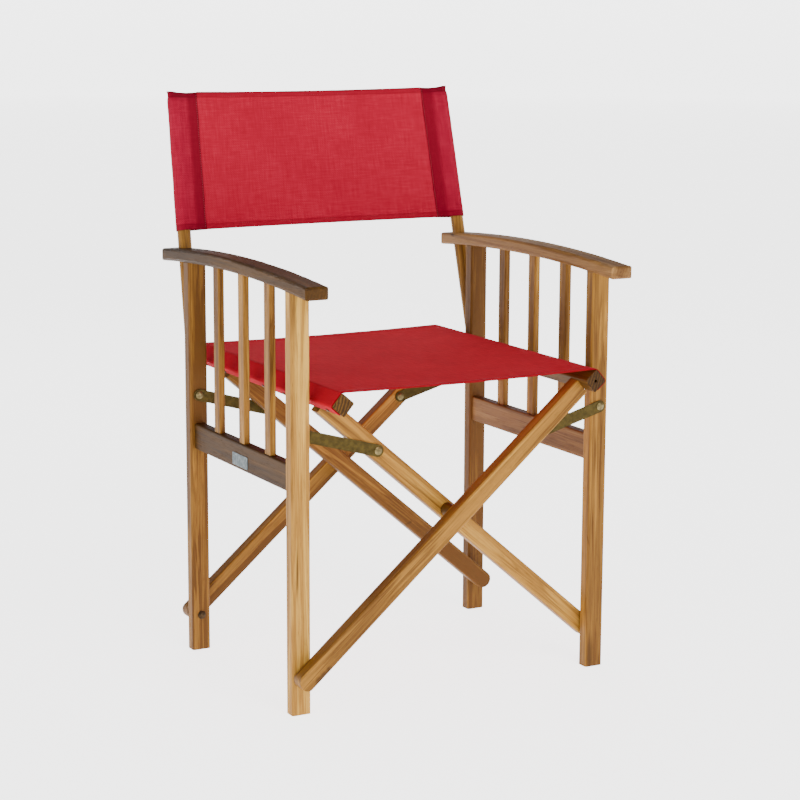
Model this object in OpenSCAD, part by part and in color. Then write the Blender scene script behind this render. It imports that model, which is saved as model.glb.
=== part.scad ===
// Folding director chair: two upright wooden side frames joined by four crossing bars,
// with a slung canvas seat, a canvas back on two leaning posts and four flat metal link arms.
// Millimetres. X runs across the chair, -Y is the front, +Z is up, the floor is Z = 0.

/* [Overall] */
// Distance between the centre lines of the left and right legs
leg_spread = 507; // [450:1:600]
// Depth of a side frame, from front face of the front leg to rear face of the rear leg
side_depth = 386; // [340:1:460]
// Height of the underside of the armrest at the crown of its arch
arm_height = 627; // [590:1:660]

/* [Legs and armrests] */
// Width of a leg across the chair
leg_w = 30; // [26:1:36]
// Depth of a leg from front to back
leg_d = 21; // [18:1:26]
// Width of an armrest
arm_w = 36; // [34:1:60]
// Thickness of an armrest
arm_t = 19.5; // [16:0.5:24]
// Radius of the arch of the armrest underside
arch_r = 2950; // [2000:50:6000]
// Overhang of the armrest in front of the front leg
arm_front = 55; // [30:1:75]
// Overhang of the armrest behind the rear leg
arm_back = 79; // [60:1:110]

/* [Side rail and slats] */
// Height of the link arm pivots above the top of the side rail
rail_drop = 45; // [30:1:60]
// Depth of the side rail from top to bottom
rail_h = 41; // [30:1:50]
// Thickness of the side rail
rail_t = 18; // [14:1:22]
// Thickness of a slat across the chair
slat_t = 10; // [8:1:12]
// Width of a slat from front to back
slat_w = 20.5; // [16:0.5:26]

/* [Folding frame] */
// Height of the lower pivots of the crossing bars
pivot_z = 57; // [45:1:75]
// Slope of the crossing bars above the floor, in degrees
bar_angle = 40.7; // [38:0.1:43]
// Width of a crossing bar
bar_w = 28; // [24:1:32]
// Thickness of a crossing bar
bar_t = 21.5; // [16:0.5:24]
// Side of the square seat rail
seat_rail = 25; // [22:1:28]
// How far a seat rail runs past the front and rear legs
rail_over = 52; // [30:1:60]
// Distance from the centre line of a leg to the centre line of its seat rail
rail_inset = 41.5; // [40:0.5:60]
// How far the seat rail stands above the centre line of its bars
rail_lift = 5.5; // [0:0.5:6]
// Diameter of the round spacer where the bars cross
spacer_d = 21; // [16:0.5:26]

/* [Link arms] */
// How far a link arm falls from its pivot on the leg to its pivot on the bar
link_drop = 37.87; // [20:0.01:50]
// Distance from the crossing of the bars to the link pivot on a bar
link_reach = 155; // [140:1:170]
// Width of a link arm
link_w = 18; // [14:1:20]
// Thickness of a link arm
link_t = 2; // [1.5:0.1:3]

/* [Back] */
// Diameter of a back post
post_d = 21; // [18:1:23]
// Backward lean of the posts, in degrees
post_lean = 13.1; // [8:0.1:16]
// Inward lean of the posts under the pull of the canvas, in degrees
post_toe = 2; // [0:0.1:2.4]
// Distance the post axis stands behind the rear leg at the armrest
post_back = 34.5; // [30:0.5:40]
// Gap between the armrest crown and the lower edge of the canvas back
back_gap = 18.5; // [10:0.5:70]
// Height of the canvas back
back_tall = 215; // [180:1:280]
// Thickness of the canvas
cloth_t = 1.6; // [1:0.1:3]

/* [Hidden] */
$fn = 48;
run = 0.05;
cloth_gap = 0.3;
let_in = 6;
round_leg = 3.5;
round_bar = 3;
round_rail = 2.5;
round_arm = 4.5;
arm_corner = 8;
leg_x = leg_spread / 2;
leg_front_y = -side_depth / 2;
leg_rear_y = side_depth / 2;
leg_top = arm_height - 30;
tenon_d = 14;
tenon_h = 10;
arm_y0 = leg_front_y - arm_front;
arm_y1 = leg_rear_y + arm_back;
arm_len = arm_y1 - arm_y0;
slat_pitch = (side_depth - 2 * leg_d - 3 * slat_w) / 4 + slat_w;
seat_len = side_depth + 2 * rail_over;
back_low = arm_height + arm_t + back_gap;
back_height = back_low + back_tall;
arch_y = (arm_y0 + arm_y1) / 2;
arch_z = arm_height - arch_r;
side_rail_x = leg_x - 1.5;
side_rail_y = leg_rear_y - leg_d;
rail_tenon = 12;
gap = link_t + 0.8;
half_span = leg_x / cos(bar_angle);
cross_z = pivot_z + leg_x * tan(bar_angle);
rail_x = leg_x - rail_inset;
bar_len = (leg_x + rail_x) / cos(bar_angle) + rail_lift * tan(bar_angle) - seat_rail / 2;
rail_cz = pivot_z + (leg_x + rail_x) * tan(bar_angle) + rail_lift / cos(bar_angle);
front_out_y = leg_front_y - gap - bar_t;
front_in_y = leg_front_y + leg_d + gap;
bore_depth = 15;
bolt_r = 3;
bolt_head_r = 6.5;
link_dx = leg_x - link_reach * cos(bar_angle);
link_z = cross_z + link_reach * sin(bar_angle) + link_drop;
rail_z = link_z - rail_drop - rail_h;
link_len = norm([link_dx, link_drop]);
link_angle = atan2(link_drop, link_dx);
rivet_r = 2.5;
rivet_head_r = 6;
post_ref_z = arm_height - 7;
post_foot_z = post_ref_z - 140;
post_x = leg_x - (post_ref_z - post_foot_z) * tan(post_toe);
post_ref_y = leg_rear_y + post_back;
post_top_z = back_height - 13;
screw_z = post_foot_z + 12;
screw_x = post_x + (post_ref_z - screw_z) * tan(post_toe);
sleeve_r = post_d / 2 + cloth_gap + cloth_t;
canvas_top_y = post_ref_y + (back_height - post_ref_z) * tan(post_lean) + sleeve_r / cos(post_lean);
shift_y = -(arm_y0 + canvas_top_y) / 2;
tack_step = (seat_len - 60) / 6;

// ---------- shared shapes ----------

// Flat rectangle with rounded corners, centred
module soft_rect(w, d, r) {
    square([w - 2 * r, d], center = true);
    square([w, d - 2 * r], center = true);
    for (sx = [-1, 1], sy = [-1, 1])
        translate([sx * (w / 2 - r), sy * (d / 2 - r)])
            circle(r);
}

// Everything inside a cylinder that follows the arch of the armrest, grown by extra
module under_arch(extra) {
    translate([0, arch_y, arch_z])
        rotate([0, 90, 0])
            cylinder(r = arch_r + extra, h = 2 * leg_spread, center = true, $fn = 360);
}

// Straight round rod along +Y from y0 to y1 at (x, z)
module rod_y(x, z, y0, y1, r) {
    translate([x, y0, z])
        rotate([-90, 0, 0])
            cylinder(r = r, h = y1 - y0);
}

// Low round head: base at y, rising along way (+1 or -1 in Y)
module head_y(x, z, y, way, r, h) {
    translate([x, y, z])
        rotate([-90 * way, 0, 0]) {
            cylinder(r = r, h = h * 0.4);
            translate([0, 0, h * 0.4])
                cylinder(r1 = r, r2 = r * 0.55, h = h * 0.6);
        }
}

// Swaps left and right
module other_side() {
    mirror([1, 0, 0])
        children();
}

// Moves the frame so the origin is the centre of the floor rectangle under the chair
module place() {
    translate([0, shift_y, 0])
        children();
}

// ---------- side frame, drawn on the left ----------

module leg(y_mid) {
    front = y_mid < 0;
    difference() {
        union() {
            intersection() {
                translate([-leg_x, y_mid, 0])
                    linear_extrude(arm_height + 20)
                        soft_rect(leg_w, leg_d, round_leg);
                under_arch(0);
            }
            translate([-leg_x, y_mid, leg_top])
                cylinder(d = tenon_d, h = 30 + tenon_h - 8);
        }
        translate([-side_rail_x, front ? y_mid + leg_d / 2 : y_mid - leg_d / 2, rail_z + rail_h / 2])
            cube([rail_t / 2, 2 * rail_tenon, rail_h - 12], center = true);
    }
}

module side_rail() {
    difference() {
        union() {
            translate([-side_rail_x, side_rail_y, rail_z + rail_h / 2])
                rotate([90, 0, 0])
                    linear_extrude(2 * side_rail_y)
                        soft_rect(rail_t, rail_h, round_bar);
            translate([-side_rail_x, 0, rail_z + rail_h / 2])
                cube([rail_t / 2 - 0.2, 2 * (side_rail_y + rail_tenon), rail_h - 12.2], center = true);
        }
        for (i = [-1:1])
            translate([-leg_x, i * slat_pitch, rail_z + rail_h])
                cube([slat_t + 0.1, slat_w + 0.1, 2 * let_in], center = true);
    }
}

module slat(i) {
    intersection() {
        translate([-leg_x, i * slat_pitch, rail_z + rail_h - let_in])
            linear_extrude(arm_height - rail_z)
                soft_rect(slat_t, slat_w, 2);
        under_arch(let_in);
    }
}

// Side view of the armrest about the centre of its arch, with rounded ends
module arm_profile() {
    r = round_arm;
    for (band = [[0, r], [r, 0]])
        intersection() {
            difference() {
                circle(arch_r + arm_t - band[0], $fn = 360);
                circle(arch_r + band[0], $fn = 360);
            }
            translate([arch_r / 2, -arm_len / 2 + band[1]])
                square([arch_r, arm_len - 2 * band[1]]);
        }
    for (side = [-1, 1], rad = [arch_r + r, arch_r + arm_t - r])
        translate([sqrt(rad * rad - pow(arm_len / 2 - r, 2)), side * (arm_len / 2 - r)])
            circle(r);
}

module armrest() {
    swing = asin((arm_len / 2 + 12) / arch_r);
    difference() {
        intersection() {
            translate([-leg_x, arch_y, arch_z])
                rotate([0, -90, 0])
                    rotate([0, 0, -swing])
                        rotate_extrude(angle = 2 * swing, $fn = 360)
                            translate([arch_r + arm_t / 2, 0])
                                soft_rect(arm_t, arm_w, round_arm);
            translate([-leg_x, arch_y, arm_height - 60])
                linear_extrude(120)
                    soft_rect(arm_w + arm_corner / 2, arm_len, arm_corner);
            translate([-leg_x + arm_w, arch_y, arch_z])
                rotate([0, -90, 0])
                    linear_extrude(2 * arm_w)
                        arm_profile();
        }
        for (i = [-1:1])
            intersection() {
                translate([-leg_x, i * slat_pitch, arm_height])
                    cube([slat_t + 0.1, slat_w + 0.1, 60], center = true);
                under_arch(let_in);
            }
        for (y = [leg_front_y + leg_d / 2, leg_rear_y - leg_d / 2])
            translate([-leg_x, y, leg_top])
                cylinder(r = tenon_d / 2 + run, h = 30 + tenon_h - 8);
        post_rod(post_d / 2 + run, -200, 400);
    }
}

// Leaning round rod on the post axis, from a to b along the axis, measured from the armrest
module post_rod(r, a, b) {
    translate([-post_x, post_ref_y, post_ref_z])
        rotate([-post_lean, post_toe, 0])
            translate([0, 0, a])
                cylinder(r = r, h = b - a);
}

module back_post() {
    difference() {
        post_rod(post_d / 2, -200, (post_top_z - post_ref_z) / cos(post_lean));
        translate([-leg_x - 50, leg_rear_y - 100, post_foot_z - 100])
            cube([100, 100, 300]);
        translate([-leg_x - 50, 0, post_foot_z - 200])
            cube([100, 2 * leg_rear_y, 200]);
        post_screw_shape(run);
    }
}

module post_screw_shape(grow) {
    head_y = post_ref_y + (screw_z - post_ref_z) * tan(post_lean) + post_d / 2 - 2;
    rod_y(-screw_x, screw_z, leg_rear_y - 14, head_y, 2 + grow);
    translate([-screw_x, head_y - 2.5, screw_z])
        rotate([-90, 0, 0])
            cylinder(r1 = 2 + grow, r2 = 4 + grow, h = 2.5);
    if (grow > 0)
        rod_y(-screw_x, screw_z, head_y, head_y + 10, 4 + grow);
}

module left_leg_front_solid() {
    difference() {
        leg(leg_front_y + leg_d / 2);
        rod_y(-leg_x, pivot_z, leg_front_y - 1, leg_front_y + leg_d + 1, bolt_r + run);
        rod_y(-leg_x, link_z, leg_front_y + leg_d - 14, leg_front_y + leg_d + 1, rivet_r + run);
    }
}

module left_leg_rear_solid() {
    difference() {
        leg(leg_rear_y - leg_d / 2);
        rod_y(-leg_x, pivot_z, leg_rear_y - leg_d - 1, leg_rear_y + 1, bolt_r + run);
        rod_y(-leg_x, link_z, leg_rear_y - leg_d - 1, leg_rear_y - leg_d + 14, rivet_r + run);
        post_screw_shape(run);
    }
}

module right_leg_front_solid() {
    difference() {
        leg(leg_front_y + leg_d / 2);
        rod_y(-leg_x, pivot_z, leg_front_y + leg_d - bore_depth, leg_front_y + leg_d + 1, bolt_r + run);
        rod_y(-leg_x, link_z, leg_front_y - 1, leg_front_y + 14, rivet_r + run);
    }
}

module right_leg_rear_solid() {
    difference() {
        leg(leg_rear_y - leg_d / 2);
        rod_y(-leg_x, pivot_z, leg_rear_y - leg_d - 1, leg_rear_y + 1, bolt_r + run);
        rod_y(-leg_x, link_z, leg_rear_y - 14, leg_rear_y + 1, rivet_r + run);
        post_screw_shape(run);
    }
}

// ---------- crossing bars, drawn for the outer frame ----------

// Bar running up to the right from the left lower pivot, its front face at y
module bar_blank(y) {
    translate([-leg_x, y + bar_t, pivot_z])
        rotate([0, -bar_angle, 0])
            intersection() {
                rotate([90, 0, 0])
                    linear_extrude(bar_t) {
                        circle(d = bar_w);
                        translate([0, -bar_w / 2])
                            square([bar_len, bar_w]);
                    }
                translate([-bar_w, -bar_t / 2, 0])
                    rotate([90, 0, 90])
                        linear_extrude(bar_len + 2 * bar_w)
                            soft_rect(bar_t, bar_w, round_bar);
            }
}

module bar_tenon(y) {
    translate([-leg_x, y + bar_t / 2, pivot_z])
        rotate([0, -bar_angle, 0])
            translate([bar_len - 1, 0, 0])
                rotate([0, 90, 0])
                    cylinder(r = 6, h = 15);
}

// Empty round seats for the bar tenons in a seat rail
module tenon_seat(y) {
    translate([-leg_x, y + bar_t / 2, pivot_z])
        rotate([0, -bar_angle, 0])
            translate([bar_len - 1, 0, 0])
                rotate([0, 90, 0])
                    cylinder(r = 6 + run, h = 15);
}

module seat_rail_blank() {
    translate([rail_x, seat_len / 2, rail_cz])
        rotate([0, -bar_angle, 0])
            rotate([90, 0, 0])
                linear_extrude(seat_len)
                    soft_rect(seat_rail, seat_rail, round_rail);
}

// Tacks through the hem into the lower outer face of the right seat rail
module tacks(grow) {
    for (i = [-3:3])
        translate([rail_x, i * tack_step, rail_cz])
            rotate([0, 90 - bar_angle, 0]) {
                translate([0, 0, 0])
                    rotate([0, 90, 0])
                        translate([0, 0, seat_rail / 2 - 8])
                            cylinder(r = 0.9 + grow, h = 8 + cloth_gap + cloth_t + 0.2);
                if (grow == 0)
                    rotate([0, 90, 0])
                        translate([0, 0, seat_rail / 2 + cloth_gap + cloth_t])
                            cylinder(r1 = 4, r2 = 2.5, h = 1.2);
            }
}

module rail_with_seats(y_front, y_rear) {
    difference() {
        seat_rail_blank();
        tenon_seat(y_front);
        tenon_seat(y_rear);
        tacks(run);
    }
}

// ---------- link arm, drawn for the left legs ----------

module link(y0) {
    translate([-leg_x, y0 + link_t, link_z])
        rotate([0, link_angle, 0])
            rotate([90, 0, 0])
                linear_extrude(link_t)
                    difference() {
                        union() {
                            circle(d = link_w);
                            translate([link_len, 0])
                                circle(d = link_w);
                            translate([0, -link_w / 2])
                                square([link_len, link_w]);
                        }
                        circle(r = rivet_r + run);
                        translate([link_len, 0])
                            circle(r = rivet_r + run);
                    }
}

// Open-end rivet of a link: head on the side named by way, shank through the link only
module rivet(y0, way) {
    x = -leg_x + link_dx;
    z = link_z - link_drop;
    base = way < 0 ? y0 : y0 + link_t;
    head_y(x, z, base, way, rivet_head_r, 2.2);
    rod_y(x, z, y0 - (way > 0 ? 0.1 : 0), y0 + link_t + (way < 0 ? 0.1 : 0), rivet_r);
}

// Screw that holds the fixed end of a link to its leg
module link_screw(face_y, way) {
    tip = face_y - way * 14;
    under_head = face_y + way * (link_t + 0.5);
    rod_y(-leg_x, link_z, min(tip, under_head), max(tip, under_head), rivet_r);
    head_y(-leg_x, link_z, under_head, way, rivet_head_r, 2.4);
}

// Lower pivot bolt: head against head_y, shank running the other way for len
module pivot_bolt(face_y, way, len) {
    head_y(-leg_x, pivot_z, face_y, way, bolt_head_r, 3);
    rod_y(-leg_x, pivot_z, way > 0 ? face_y - len : face_y, way > 0 ? face_y : face_y + len, bolt_r);
}

module washer(y0) {
    difference() {
        rod_y(-leg_x, pivot_z, y0, y0 + gap - 0.2, 7.5);
        rod_y(-leg_x, pivot_z, y0 - 1, y0 + gap + 1, bolt_r + run);
    }
}

// ---------- wooden side pieces ----------

module left_front_leg() {
    color([0.72, 0.52, 0.32])
        place()
            left_leg_front_solid();
}

module left_rear_leg() {
    color([0.68, 0.47, 0.28])
        place()
            left_leg_rear_solid();
}

module left_armrest() {
    color([0.5, 0.36, 0.24])
        place()
            armrest();
}

module left_side_rail() {
    color([0.5, 0.36, 0.24])
        place()
            side_rail();
}

module left_front_slat() {
    color([0.72, 0.52, 0.32])
        place()
            slat(-1);
}

module left_middle_slat() {
    color([0.7, 0.5, 0.3])
        place()
            slat(0);
}

module left_rear_slat() {
    color([0.72, 0.52, 0.32])
        place()
            slat(1);
}

module left_back_post() {
    color([0.66, 0.48, 0.28])
        place()
            back_post();
}

module right_front_leg() {
    color([0.6, 0.42, 0.26])
        place()
            other_side()
                right_leg_front_solid();
}

module right_rear_leg() {
    color([0.6, 0.42, 0.26])
        place()
            other_side()
                right_leg_rear_solid();
}

module right_armrest() {
    color([0.62, 0.42, 0.27])
        place()
            other_side()
                armrest();
}

module right_side_rail() {
    color([0.62, 0.42, 0.27])
        place()
            other_side()
                side_rail();
}

module right_front_slat() {
    color([0.72, 0.52, 0.32])
        place()
            other_side()
                slat(-1);
}

module right_middle_slat() {
    color([0.7, 0.5, 0.3])
        place()
            other_side()
                slat(0);
}

module right_rear_slat() {
    color([0.72, 0.52, 0.32])
        place()
            other_side()
                slat(1);
}

module right_back_post() {
    color([0.66, 0.48, 0.28])
        place()
            other_side()
                back_post();
}

// Blank plate on the outer face of the left side rail
module label_plate() {
    color([0.62, 0.64, 0.62])
        place()
            translate([-side_rail_x - rail_t / 2, 0, rail_z + 14.5])
                rotate([90, 0, -90])
                    linear_extrude(0.8)
                        soft_rect(54, 19, 2);
}

// ---------- metal fixings of the side frames ----------

module left_post_screw() {
    color([0.55, 0.52, 0.45])
        place()
            post_screw_shape(0);
}

module right_post_screw() {
    color([0.55, 0.52, 0.45])
        place()
            other_side()
                post_screw_shape(0);
}

module left_pivot_bolts() {
    color([0.55, 0.5, 0.4])
        place() {
            pivot_bolt(leg_front_y + leg_d, 1, leg_d + gap + bore_depth);
            pivot_bolt(leg_rear_y - leg_d, -1, leg_d + gap + bore_depth);
        }
}

module right_pivot_bolts() {
    color([0.55, 0.5, 0.4])
        place()
            other_side() {
                pivot_bolt(front_in_y + bar_t + 0.1, 1, bar_t + gap + bore_depth);
                pivot_bolt(leg_rear_y, 1, leg_d + gap + bore_depth);
            }
}

module left_pivot_washers() {
    color([0.6, 0.58, 0.52])
        place() {
            washer(leg_front_y - gap + 0.2);
            washer(leg_rear_y);
        }
}

module right_pivot_washers() {
    color([0.6, 0.58, 0.52])
        place()
            other_side() {
                washer(leg_front_y + leg_d);
                washer(leg_rear_y - leg_d - gap + 0.2);
            }
}

module left_link_screws() {
    color([0.62, 0.54, 0.38])
        place() {
            link_screw(leg_front_y + leg_d, 1);
            link_screw(leg_rear_y - leg_d, -1);
        }
}

module right_link_screws() {
    color([0.62, 0.54, 0.38])
        place()
            other_side() {
                link_screw(leg_front_y, -1);
                link_screw(leg_rear_y, 1);
            }
}

// ---------- outer crossing frame, pivoted on the left legs ----------

module outer_bar(y, bolt_from, bolt_to, pin_from, pin_to) {
    difference() {
        union() {
            bar_blank(y);
            bar_tenon(y);
        }
        rod_y(-leg_x, pivot_z, bolt_from, bolt_to, bolt_r + run);
        rod_y(0, cross_z, pin_from, pin_to, bolt_r + run);
    }
}

module outer_front_bar() {
    color([0.7, 0.5, 0.3])
        place()
            outer_bar(front_out_y, front_out_y + bar_t - bore_depth, front_out_y + bar_t + 1,
                front_out_y + bar_t - bore_depth, front_out_y + bar_t + 1);
}

module outer_rear_bar() {
    color([0.68, 0.48, 0.3])
        place()
            outer_bar(leg_rear_y + gap, leg_rear_y + gap - 1, leg_rear_y + gap + bore_depth,
                leg_rear_y + gap - 1, leg_rear_y + gap + bar_t + 1);
}

module right_seat_rail() {
    color([0.55, 0.38, 0.24])
        place()
            difference() {
                rail_with_seats(front_out_y, leg_rear_y + gap);
                rod_y(rail_x, rail_cz, -seat_len / 2 - 1, -seat_len / 2 + 12, 2.5);
            }
}

// Round wooden spacers between the outer and inner bars at the crossing
module crossing_spacers() {
    color([0.6, 0.42, 0.26])
        place()
            difference() {
                union() {
                    rod_y(0, cross_z, front_out_y + bar_t, front_in_y - 0.1, spacer_d / 2);
                    rod_y(0, cross_z, -front_in_y + 0.1, leg_rear_y + gap, spacer_d / 2);
                }
                rod_y(0, cross_z, -seat_len, seat_len, bolt_r + run);
            }
}

module crossing_pins() {
    color([0.55, 0.5, 0.4])
        place() {
            rod_y(0, cross_z, front_out_y + bar_t - bore_depth, front_in_y + bar_t + 0.2, bolt_r);
            head_y(0, cross_z, front_in_y + bar_t + 0.1, 1, bolt_head_r, 3);
            rod_y(0, cross_z, -front_in_y - bore_depth, leg_rear_y + gap + bar_t, bolt_r);
            head_y(0, cross_z, leg_rear_y + gap + bar_t, 1, bolt_head_r, 3);
        }
}

module right_seat_tacks() {
    color([0.6, 0.58, 0.5])
        place()
            tacks(0);
}

// ---------- inner crossing frame, pivoted on the right legs ----------

module inner_front_bar() {
    color([0.74, 0.55, 0.34])
        place()
            other_side()
                outer_bar(front_in_y, front_in_y - 1, front_in_y + bar_t + 1,
                    front_in_y - 1, front_in_y + bar_t + 1);
}

module inner_rear_bar() {
    color([0.76, 0.57, 0.36])
        place()
            other_side()
                outer_bar(-front_in_y - bar_t, -front_in_y - bore_depth, -front_in_y + 1,
                    -front_in_y - bore_depth, -front_in_y + 1);
}

module left_seat_rail() {
    color([0.7, 0.5, 0.32])
        place()
            other_side()
                rail_with_seats(front_in_y, -front_in_y - bar_t);
}

module left_seat_tacks() {
    color([0.6, 0.58, 0.5])
        place()
            other_side()
                tacks(0);
}

// ---------- canvas ----------

// One half of the seat cross-section: wrap over the right rail, drawn in the X-Z plane
module seat_wrap() {
    s = seat_rail / 2 + cloth_gap;
    translate([rail_x, rail_cz])
        rotate(bar_angle) {
            difference() {
                soft_rect(2 * (s + cloth_t), 2 * (s + cloth_t), round_rail + cloth_gap + cloth_t);
                soft_rect(2 * s, 2 * s, round_rail + cloth_gap);
                translate([-2 * s, -2 * s])
                    square([3 * s - round_rail - cloth_gap, 4 * s]);
                translate([0, s - round_rail - cloth_gap])
                    square(2 * s);
            }
            translate([-s * 0.1, -s - cloth_t])
                square([1.1 * s - round_rail - cloth_gap, cloth_t]);
        }
}

// Seat sheet and its wraps, as one closed solid
module seat_canvas() {
    s = seat_rail / 2 + cloth_gap;
    top_r = round_rail + cloth_gap;
    corner = [rail_x + (s - top_r) * (cos(bar_angle) - sin(bar_angle)),
        rail_cz + (s - top_r) * (sin(bar_angle) + cos(bar_angle))];
    color([0.69, 0.12, 0.17])
        place()
            difference() {
                translate([0, seat_len / 2, 0])
                    rotate([90, 0, 0])
                        linear_extrude(seat_len)
                            union() {
                                seat_wrap();
                                mirror([1, 0])
                                    seat_wrap();
                                translate([-corner[0], corner[1] + top_r])
                                    square([2 * corner[0], cloth_t]);
                                for (m = [0, 1])
                                    mirror([m, 0])
                                        translate(corner)
                                            intersection() {
                                                difference() {
                                                    circle(top_r + cloth_t);
                                                    circle(top_r);
                                                }
                                                square(4 * top_r);
                                                rotate(bar_angle)
                                                    square(4 * top_r);
                                            }
                            }
                tacks(run);
                other_side()
                    tacks(run);
            }
}

// Panel with a sleeve round each post, closed over the post tops
module back_canvas() {
    reach = (back_height - post_ref_z) / cos(post_lean) + 2 * sleeve_r;
    color([0.76, 0.2, 0.25])
        place()
            difference() {
                intersection() {
                    union() {
                        for (m = [0, 1])
                            mirror([m, 0, 0])
                                post_rod(sleeve_r, 0, reach);
                        translate([0, post_ref_y, post_ref_z])
                            rotate([90 - post_lean, 0, 0])
                                translate([0, 0, -cloth_t / 2])
                                    linear_extrude(cloth_t)
                                        polygon([[-post_x, 0], [post_x, 0],
                                            [post_x - reach * tan(post_toe), reach],
                                            [-post_x + reach * tan(post_toe), reach]]);
                    }
                    translate([-leg_spread, 0, back_low])
                        cube([2 * leg_spread, 4 * leg_rear_y, back_height - back_low]);
                }
                for (m = [0, 1])
                    mirror([m, 0, 0])
                        intersection() {
                            post_rod(post_d / 2 + cloth_gap, 0, reach);
                            translate([-leg_spread, 0, 0])
                                cube([2 * leg_spread, 4 * leg_rear_y, post_top_z + m * cloth_gap + 3]);
                        }
            }
}

// ---------- link arms and their open-end rivets ----------

module front_left_link() {
    color([0.5, 0.45, 0.33])
        place()
            link(leg_front_y + leg_d + 0.4);
}

module rear_left_link() {
    color([0.5, 0.45, 0.33])
        place()
            link(leg_rear_y - leg_d - 0.4 - link_t);
}

module front_right_link() {
    color([0.5, 0.45, 0.33])
        place()
            other_side()
                link(leg_front_y - 0.4 - link_t);
}

module rear_right_link() {
    color([0.5, 0.45, 0.33])
        place()
            other_side()
                link(leg_rear_y + 0.4);
}

module front_left_rivet() {
    color([0.75, 0.7, 0.55])
        place()
            rivet(leg_front_y + leg_d + 0.4, -1);
}

module rear_left_rivet() {
    color([0.75, 0.7, 0.55])
        place()
            rivet(leg_rear_y - leg_d - 0.4 - link_t, 1);
}

module front_right_rivet() {
    color([0.75, 0.7, 0.55])
        place()
            other_side()
                rivet(leg_front_y - 0.4 - link_t, 1);
}

module rear_right_rivet() {
    color([0.75, 0.7, 0.55])
        place()
            other_side()
                rivet(leg_rear_y + 0.4, -1);
}

left_front_leg();
left_rear_leg();
left_armrest();
left_side_rail();
left_front_slat();
left_middle_slat();
left_rear_slat();
left_back_post();
left_post_screw();
left_pivot_bolts();
left_pivot_washers();
left_link_screws();
label_plate();
right_front_leg();
right_rear_leg();
right_armrest();
right_side_rail();
right_front_slat();
right_middle_slat();
right_rear_slat();
right_back_post();
right_post_screw();
right_pivot_bolts();
right_pivot_washers();
right_link_screws();
outer_front_bar();
outer_rear_bar();
right_seat_rail();
crossing_spacers();
crossing_pins();
right_seat_tacks();
inner_front_bar();
inner_rear_bar();
left_seat_rail();
left_seat_tacks();
seat_canvas();
front_left_link();
rear_left_link();
front_right_link();
rear_right_link();
front_left_rivet();
rear_left_rivet();
front_right_rivet();
rear_right_rivet();
back_canvas();
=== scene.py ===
"""Looks of a folding director chair: oiled acacia, aged brass link arms, red canvas seat and back."""

import logging
import math
from dataclasses import dataclass, field
from enum import Enum
from itertools import accumulate
from typing import Callable, Iterable, Sequence

import bpy
import numpy as np
from mathutils import Matrix, Vector

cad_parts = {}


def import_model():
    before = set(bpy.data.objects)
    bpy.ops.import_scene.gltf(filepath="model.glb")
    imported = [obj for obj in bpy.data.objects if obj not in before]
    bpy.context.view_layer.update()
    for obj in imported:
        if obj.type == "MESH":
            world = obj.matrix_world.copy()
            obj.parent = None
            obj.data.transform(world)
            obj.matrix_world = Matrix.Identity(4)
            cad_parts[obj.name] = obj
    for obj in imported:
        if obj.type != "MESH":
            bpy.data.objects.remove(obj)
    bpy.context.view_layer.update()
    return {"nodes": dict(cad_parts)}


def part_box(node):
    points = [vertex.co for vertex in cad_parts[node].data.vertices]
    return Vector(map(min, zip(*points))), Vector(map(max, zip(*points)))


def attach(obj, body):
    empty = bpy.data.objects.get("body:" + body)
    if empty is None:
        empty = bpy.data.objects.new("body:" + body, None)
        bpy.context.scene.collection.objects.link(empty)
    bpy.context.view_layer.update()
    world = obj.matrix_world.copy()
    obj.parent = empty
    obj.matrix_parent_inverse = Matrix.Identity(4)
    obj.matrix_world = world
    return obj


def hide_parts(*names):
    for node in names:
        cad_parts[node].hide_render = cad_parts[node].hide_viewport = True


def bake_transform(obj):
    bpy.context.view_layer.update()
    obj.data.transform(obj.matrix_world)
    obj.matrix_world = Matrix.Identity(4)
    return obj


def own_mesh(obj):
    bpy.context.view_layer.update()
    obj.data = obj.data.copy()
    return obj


LOG = logging.getLogger("chair")
MM = 0.001
CLOTH_MAP = "Cloth"  # the cloth pieces' UV map, in metres
POST_LEAN = math.radians(13.1)  # back posts, rearwards from upright
POST_TOE = math.radians(2.0)  # back posts, inwards from upright
BAR_SLANT = math.radians(49.3)  # crossing bars, sideways from upright
POST_FOOT_Y = 0.2275  # middle of a back post at the height POST_FOOT_Z
POST_FOOT_Z = 0.620
ARMREST_Y = 0.012  # middle of an armrest when the post stands there

Number = float | int
Triple = tuple[float, float, float]


# -------- node trees


def add_node(
    tree: bpy.types.NodeTree,
    kind: str,
    settings: dict[str, object] | None = None,
    values: dict[int | str, object] | None = None,
) -> bpy.types.Node:
    """Adds a node, sets it up and then fills or links its sockets.

    Args:
        tree: the tree it goes into.
        kind: the node's type name.
        settings: the node's own properties.
        values: socket name or index to a number, a tuple, a Signal or a socket.

    Returns:
        The node.
    """
    node = tree.nodes.new(kind)
    for key, value in (settings or {}).items():
        setattr(node, key, value)
    for key, value in (values or {}).items():
        source = value.socket if isinstance(value, Signal) else value
        if isinstance(source, bpy.types.NodeSocket):
            tree.links.new(source, node.inputs[key])
        else:
            node.inputs[key].default_value = source
    return node


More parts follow.
